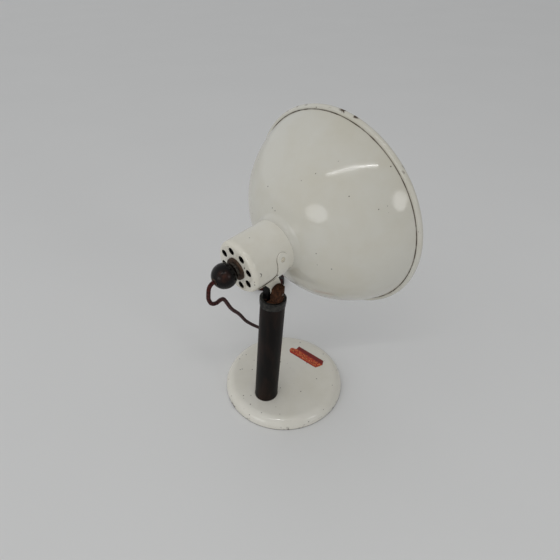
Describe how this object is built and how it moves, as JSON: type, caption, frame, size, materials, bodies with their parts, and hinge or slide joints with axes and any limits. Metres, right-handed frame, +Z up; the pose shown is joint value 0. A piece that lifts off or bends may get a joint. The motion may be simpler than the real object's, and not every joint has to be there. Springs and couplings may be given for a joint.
{
  "type": "heat lamp fixture",
  "caption": "Table heat lamp with a weighted round base, a leaning tube post, a tilting cream enamelled bowl shade, a ball handle and a braided cord.",
  "frame": {"origin": "centre of the base's underside, on the surface that the lamp stands on", "axes": "+Z up, +X the way the shade faces, +Y to the lamp's left"},
  "size_m": [0.317, 0.3893, 0.4139],
  "materials": {
    "cream_enamel": "gloss cream stove enamel, worn",
    "cream_enamel_shade": "gloss cream stove enamel, chipped at the rim",
    "cream_enamel_base": "satin cream stove enamel, worn",
    "cream_rivet": "cream enamel over steel",
    "cast_weight": "rough grey casting",
    "felt": "green felt",
    "plated_steel": "dull zinc plate",
    "dull_steel": "dull grey steel",
    "label_red": "worn red paper sticker",
    "post_black": "black lacquer with brown wear",
    "collar_grey": "tarnished turned metal",
    "fork_rust": "black paint worn to brown rust",
    "fibre_brown": "brown vulcanised fibre",
    "nut_grey": "dull grey turned nut",
    "ball_black": "black phenolic ball with brown wear",
    "cord_braid": "red-brown cotton braid",
    "lead_cloth": "cloth covered lead",
    "porcelain": "glazed porcelain",
    "brass": "plain brass",
    "brass_cap": "dull brass lamp cap",
    "lamp_glass": "clear lamp glass",
    "filament": "dark heater wire",
    "tie_black": "black band",
    "plug_brown": "dark brown phenolic plug"
  },
  "bodies": {
    "stand": {"base_cover": "cream_enamel_base", "base_weight": "cast_weight", "base_felt": "felt", "base_bolt": "plated_steel", "base_washer": "plated_steel", "base_label": "label_red", "post_tube": "post_black", "post_plug": "plated_steel", "collar": "collar_grey", "fork": "fork_rust", "pivot_pin": "dull_steel", "cord_tube": "cord_braid", "cord_coil": "cord_braid", "cord_tie": "tie_black", "cord_end": "cord_braid", "plug_body": "plug_brown", "plug_pins": "brass", "plug_screw": "plated_steel"},
    "head": {"friction_washers": "fibre_brown", "yoke_left": "cream_enamel", "yoke_right": "cream_enamel", "yoke_rivets": "cream_rivet", "housing": "cream_enamel", "reflector": "cream_enamel_shade", "rim_wire": "dull_steel", "fibre_disc": "fibre_brown", "round_nut": "nut_grey", "nipple": "plated_steel", "lock_nut": "plated_steel", "ball_handle": "ball_black", "cord_bush": "fibre_brown", "flex_tail": "cord_braid", "lead_wires": "lead_cloth", "holder_bracket": "plated_steel", "bracket_screws": "plated_steel", "holder_body": "porcelain", "screw_shell": "brass", "centre_contact": "brass", "terminal_screws": "brass", "lamp_cap": "brass_cap", "lamp_glass": "lamp_glass", "lamp_stem": "lamp_glass", "lamp_filament": "filament"}
  },
  "joints": [
    {"name": "tilt", "type": "hinge", "parent": "stand", "child": "head", "pos_m": [-0.02243, -0.007, 0.20034], "axis": [0, -1, 0], "range_deg": [-40, 55], "deforming": ["cord_tube"]}
  ]
}
